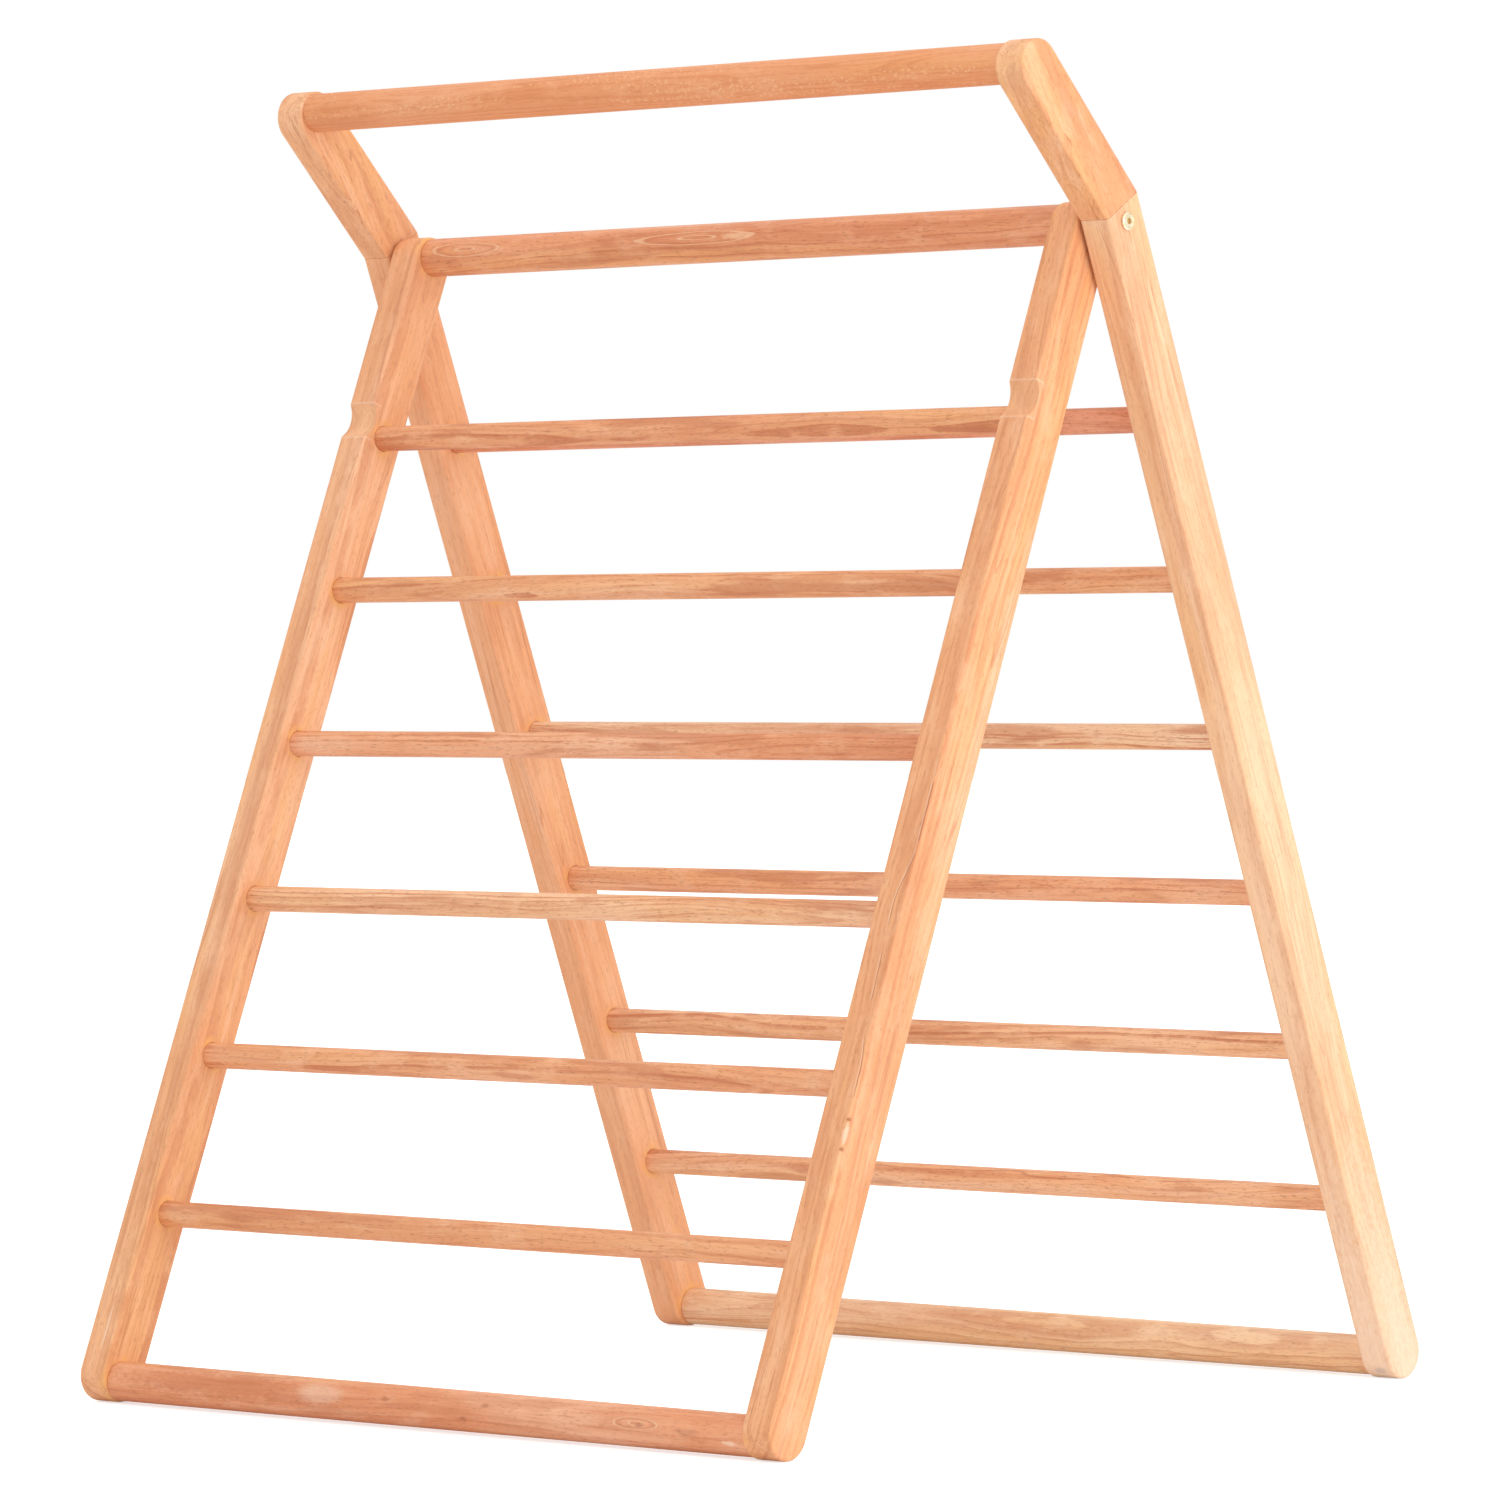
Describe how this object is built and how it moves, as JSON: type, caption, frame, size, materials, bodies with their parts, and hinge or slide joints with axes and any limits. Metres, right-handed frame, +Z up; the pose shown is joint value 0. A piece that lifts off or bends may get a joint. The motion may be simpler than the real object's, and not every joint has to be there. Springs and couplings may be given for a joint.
{
  "type": "clothes drying rack",
  "caption": "Folding wooden A-frame drying rack: two ladder frames of round rungs on a bolted hinge, with an angled carrying handle above it.",
  "frame": {"origin": "on the floor, under the middle of the standing rack's box", "axes": "+Z up, +X along the rungs to the right, -Y towards the front frame"},
  "size_m": [0.856, 0.7985, 1.1221],
  "materials": {
    "post_teak": "oiled, satin",
    "round_teak": "oiled, satin",
    "hinge_brass": "pale satin"
  },
  "bodies": {
    "back_frame": {"back_post_left": "post_teak", "back_post_right": "post_teak", "handle_arm_left": "post_teak", "handle_arm_right": "post_teak", "handle_bar": "round_teak", "back_rung_1": "round_teak", "back_rung_2": "round_teak", "back_rung_3": "round_teak", "back_rung_4": "round_teak", "back_rung_5": "round_teak", "back_rung_6": "round_teak", "back_bottom_rail": "round_teak", "mitre_dowel_left_front": "round_teak", "mitre_dowel_left_rear": "round_teak", "mitre_dowel_right_front": "round_teak", "mitre_dowel_right_rear": "round_teak"},
    "front_frame": {"front_post_left": "post_teak", "front_post_right": "post_teak", "front_top_rail": "round_teak", "front_rung_1": "round_teak", "front_rung_2": "round_teak", "front_rung_3": "round_teak", "front_rung_4": "round_teak", "front_rung_5": "round_teak", "front_rung_6": "round_teak", "front_bottom_rail": "round_teak", "hinge_bolt_left": "hinge_brass", "hinge_bolt_right": "hinge_brass", "hinge_washer_left": "hinge_brass", "hinge_washer_right": "hinge_brass", "rail_insert_left": "hinge_brass", "rail_insert_right": "hinge_brass"}
  },
  "joints": [
    {"name": "front_frame_swing", "type": "hinge", "parent": "back_frame", "child": "front_frame", "pos_m": [0, 0.02273, 0.9773], "axis": [-1, 0, 0], "range_deg": [-31, 104.5]}
  ]
}
